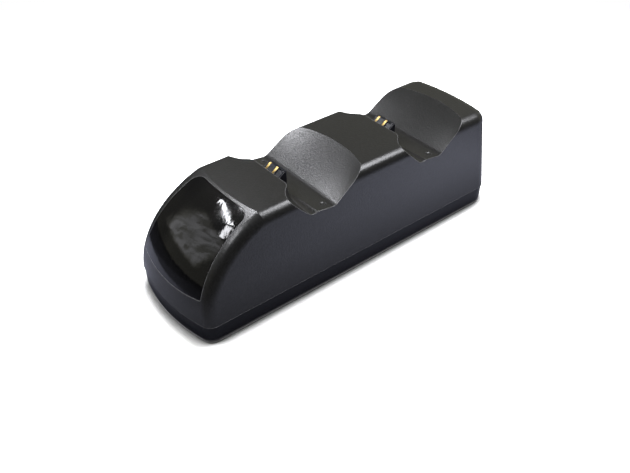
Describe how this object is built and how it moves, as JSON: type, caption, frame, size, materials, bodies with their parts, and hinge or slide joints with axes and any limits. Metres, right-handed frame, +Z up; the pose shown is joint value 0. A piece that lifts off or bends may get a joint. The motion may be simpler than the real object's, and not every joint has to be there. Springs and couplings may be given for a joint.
{
  "type": "controller charging dock",
  "caption": "Long, low charging dock for game controllers: rounded black housing with saddle-shaped cradles, gilded contacts behind each lip, a smoked window in the sloped nose and a base tray.",
  "frame": {"origin": "on the table, under the middle of the dock's overall box", "axes": "+Z up; -Y towards the sloped nose with the window; +Y towards the inlet in the back wall; +X to the right when the nose is seen from the front"},
  "size_m": [0.065, 0.206, 0.0603],
  "materials": {
    "shell_plastic": "fine-grained satin black",
    "base_plastic": "smooth satin black",
    "smoked_window": "polished, smoked nearly black",
    "block_plastic": "satin dark grey",
    "gilded_contact": "gilded",
    "board": "green lacquer",
    "steel": "plated",
    "lead_sheath": "soft sheath",
    "chip_case": "moulded",
    "ferrite": "sintered",
    "can": "bare can",
    "lamp": "clear resin",
    "foot_rubber": "soft"
  },
  "bodies": {
    "root": {"upper_shell": "shell_plastic", "base_cover": "base_plastic", "front_window": "smoked_window", "contact_block_front": "block_plastic", "contact_block_rear": "block_plastic", "contact_leaf_front_outer": "gilded_contact", "contact_leaf_front_middle": "gilded_contact", "contact_leaf_rear_outer": "gilded_contact", "contact_leaf_rear_middle": "gilded_contact", "contact_board_front": "board", "contact_board_rear": "board", "contact_screws": "steel", "contact_lead_front": "lead_sheath", "contact_lead_rear": "lead_sheath", "main_board": "board", "board_screws": "steel", "usb_socket": "steel", "usb_tongue": "chip_case", "charge_chip_front": "chip_case", "charge_chip_rear": "chip_case", "power_inductor": "ferrite", "input_capacitor": "can", "charge_led_front": "lamp", "charge_led_rear": "lamp", "rubber_foot_front_left": "foot_rubber", "rubber_foot_front_right": "foot_rubber", "rubber_foot_rear_left": "foot_rubber", "rubber_foot_rear_right": "foot_rubber", "case_screws": "steel"}
  },
  "joints": []
}
